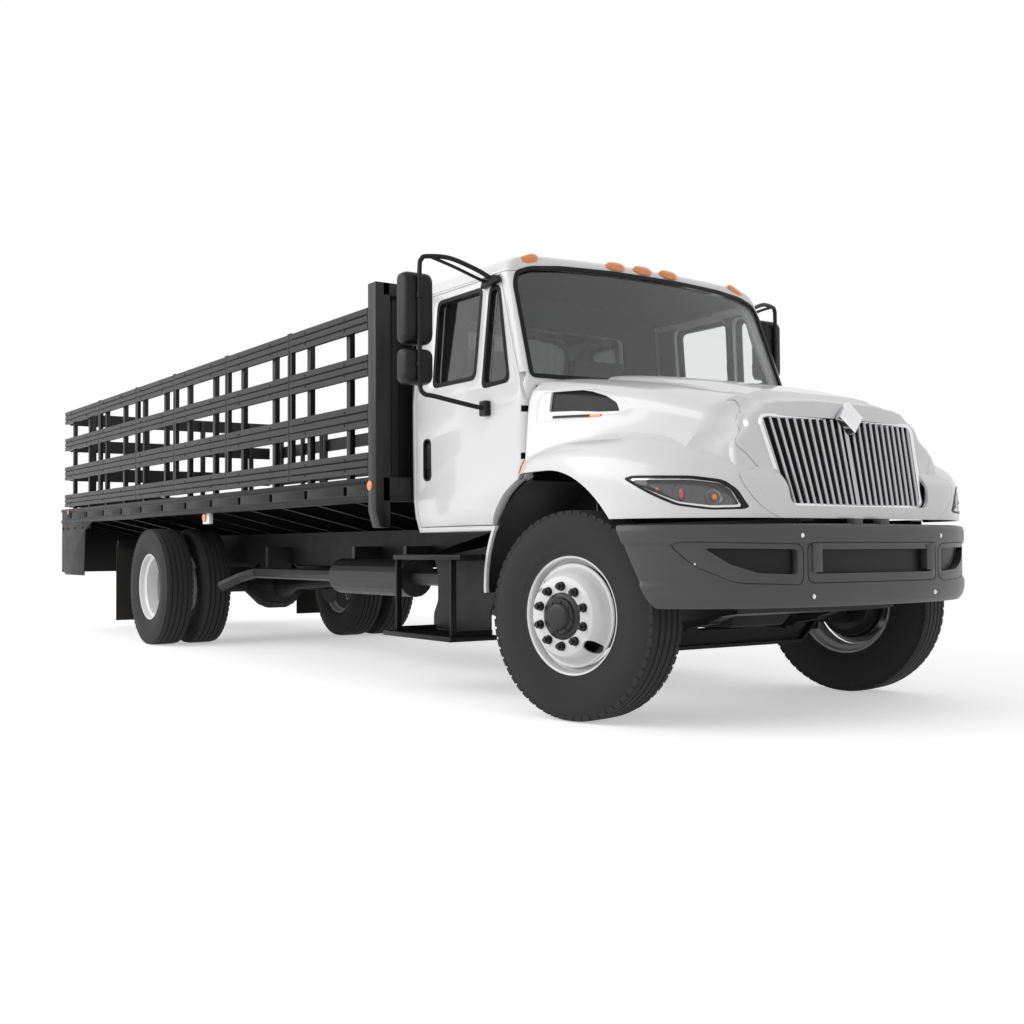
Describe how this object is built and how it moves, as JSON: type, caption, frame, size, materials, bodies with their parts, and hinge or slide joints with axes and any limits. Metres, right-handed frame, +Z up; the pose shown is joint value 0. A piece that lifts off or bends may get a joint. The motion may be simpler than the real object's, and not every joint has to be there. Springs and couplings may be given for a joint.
{
  "type": "flatbed truck",
  "caption": "Medium-duty flatbed truck with a conventional white cab and a long black load bed closed in by slatted stake racks.",
  "frame": {"origin": "on the ground under the middle of the truck's overall length and width", "axes": "+X towards the front of the truck, +Y to its left, +Z up"},
  "size_m": [9.85, 2.88, 2.5],
  "materials": {
    "white_paint": "glossy white paint",
    "black_paint": "semi-gloss black paint",
    "dark_cast": "dark painted iron and steel",
    "grey_plastic": "satin dark grey",
    "black_plastic": "satin black",
    "rubber": "matt black rubber",
    "tyre_rubber": "matt black tyre",
    "white_wheel_paint": "white wheel paint",
    "bare_metal": "bare bright metal",
    "chrome": "bright silver",
    "dark_glass": "dark tinted glass",
    "clear_lens": "clear lens",
    "seat_cloth": "dark grey cloth"
  },
  "bodies": {
    "chassis": {"frame": "black_paint", "front_axle": "dark_cast", "rear_axle": "dark_cast", "front_spring_left": "dark_cast", "front_spring_right": "dark_cast", "rear_spring_left": "dark_cast", "rear_spring_right": "dark_cast", "drive_shaft": "dark_cast", "engine": "dark_cast", "gearbox": "dark_cast", "radiator": "dark_cast", "front_bumper": "grey_plastic", "fuel_tank": "bare_metal", "air_tank": "black_paint", "step_left": "black_paint", "step_right": "black_paint", "exhaust": "bare_metal", "mud_flap_left": "rubber", "mud_flap_right": "rubber", "cab_shell": "white_paint", "cab_roof": "white_paint", "windshield": "dark_glass", "rear_window": "dark_glass", "dashboard": "black_plastic", "steering_wheel": "black_plastic", "seat_left": "seat_cloth", "seat_right": "seat_cloth", "deck": "black_paint", "bulkhead": "black_paint", "rack_left": "black_paint", "rack_right": "black_paint", "rack_rear": "black_paint"},
    "door_left": {"door_left": "white_paint", "door_glass_left": "dark_glass", "mirror_left": "black_plastic"},
    "door_right": {"door_right": "white_paint", "door_glass_right": "dark_glass", "mirror_right": "black_plastic"},
    "hood": {"hood": "white_paint", "grille": "chrome", "headlamp_left": "clear_lens", "headlamp_right": "clear_lens"},
    "knuckle_left": {"knuckle_left": "dark_cast"},
    "knuckle_right": {"knuckle_right": "dark_cast"},
    "tie_rod": {"tie_rod": "dark_cast"},
    "front_wheel_left": {"front_wheel_left": "white_wheel_paint", "front_tyre_left": "tyre_rubber"},
    "front_wheel_right": {"front_wheel_right": "white_wheel_paint", "front_tyre_right": "tyre_rubber"},
    "rear_wheels_left": {"rear_wheel_left": "white_wheel_paint", "rear_tyre_outer_left": "tyre_rubber", "rear_tyre_inner_left": "tyre_rubber"},
    "rear_wheels_right": {"rear_wheel_right": "white_wheel_paint", "rear_tyre_outer_right": "tyre_rubber", "rear_tyre_inner_right": "tyre_rubber"}
  },
  "joints": [
    {"name": "steer_left", "type": "hinge", "parent": "chassis", "child": "knuckle_left", "pos_m": [3.925, 0.86, 0.509], "axis": [0, 0, 1], "range_deg": [-52, 28]},
    {"name": "steer_right", "type": "hinge", "parent": "chassis", "child": "knuckle_right", "pos_m": [3.925, -0.86, 0.509], "axis": [0, 0, 1], "range_deg": [-52, 28]},
    {"name": "tie_rod_swing", "type": "hinge", "parent": "knuckle_left", "child": "tie_rod", "pos_m": [3.75872, 0.82466, 0.4], "axis": [0, 0, 1], "range_deg": [-28, 52]},
    {"name": "spin_front_left", "type": "hinge", "parent": "knuckle_left", "child": "front_wheel_left", "pos_m": [3.8934, 1.00868, 0.509], "axis": [-0.2079, 0.9781, 0], "continuous": true},
    {"name": "spin_front_right", "type": "hinge", "parent": "knuckle_right", "child": "front_wheel_right", "pos_m": [3.9566, -1.00868, 0.509], "axis": [-0.2079, 0.9781, 0], "continuous": true},
    {"name": "spin_rear_left", "type": "hinge", "parent": "chassis", "child": "rear_wheels_left", "pos_m": [-2.069, 0.919, 0.509], "axis": [0, 1, 0], "continuous": true},
    {"name": "spin_rear_right", "type": "hinge", "parent": "chassis", "child": "rear_wheels_right", "pos_m": [-2.069, -0.919, 0.509], "axis": [0, 1, 0], "continuous": true},
    {"name": "door_left_swing", "type": "hinge", "parent": "chassis", "child": "door_left", "pos_m": [3.395, 0.985, 0.963], "axis": [0, 0, -1], "range_deg": [0, 70]},
    {"name": "door_right_swing", "type": "hinge", "parent": "chassis", "child": "door_right", "pos_m": [3.395, -0.985, 0.963], "axis": [0, 0, 1], "range_deg": [0, 70]},
    {"name": "hood_tilt", "type": "hinge", "parent": "chassis", "child": "hood", "pos_m": [4.86, 0, 0.965], "axis": [0, 1, 0], "range_deg": [0, 70]}
  ],
  "couplings": [
    {"joint": "steer_right", "follows": "steer_left", "ratio": 1},
    {"joint": "tie_rod_swing", "follows": "steer_left", "ratio": -1}
  ]
}
